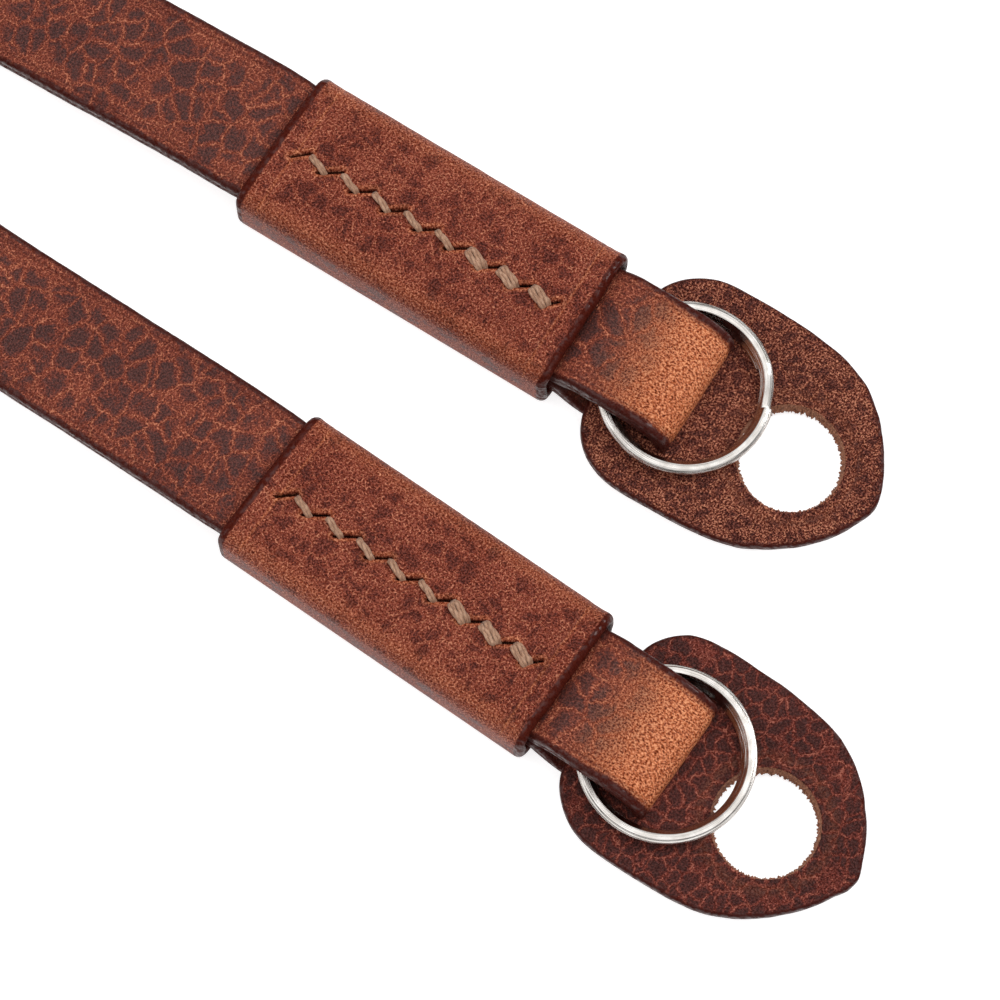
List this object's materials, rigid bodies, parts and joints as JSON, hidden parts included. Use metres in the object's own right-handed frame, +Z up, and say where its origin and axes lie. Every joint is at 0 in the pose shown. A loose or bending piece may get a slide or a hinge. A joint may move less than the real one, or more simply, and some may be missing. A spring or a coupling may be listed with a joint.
{
  "type": "camera neck strap",
  "caption": "Leather camera neck strap: a folded end with sewn sleeve, split ring and punched tab at each side of one long loop.",
  "frame": {"origin": "middle of the footprint of the strap as it lies, on the surface it rests on", "axes": "+X along the strap towards the rings, +Y across the loop towards end a, +Z up"},
  "size_m": [0.5012, 0.086, 0.0119],
  "materials": {
    "strap_leather": "tumbled pull-up leather, dark brown grain with reddish valleys, burnished dark edges",
    "sleeve_leather": "smoother reddish brown leather with fine pores and a beige thread stitch",
    "tab_leather": "dark brown grained leather with a burnished edge and a raw punched hole",
    "nickel": "bright nickel-plated flat spring wire"
  },
  "bodies": {
    "strap_body": {"strap": "strap_leather", "sleeve_a": "sleeve_leather", "sleeve_b": "sleeve_leather", "tab_a": "tab_leather", "tab_b": "tab_leather"},
    "ring_a_body": {"ring_a": "nickel"},
    "ring_b_body": {"ring_b": "nickel"}
  },
  "joints": [
    {"name": "ring_a_turn", "type": "hinge", "parent": "strap_body", "child": "ring_a_body", "pos_m": [0.21703, 0.0116, 0.00353], "axis": [0.0349, 0, 0.9994], "continuous": true},
    {"name": "ring_b_turn", "type": "hinge", "parent": "strap_body", "child": "ring_b_body", "pos_m": [0.23197, -0.01589, 0.00353], "axis": [0.0349, -0.0018, 0.9994], "continuous": true}
  ]
}
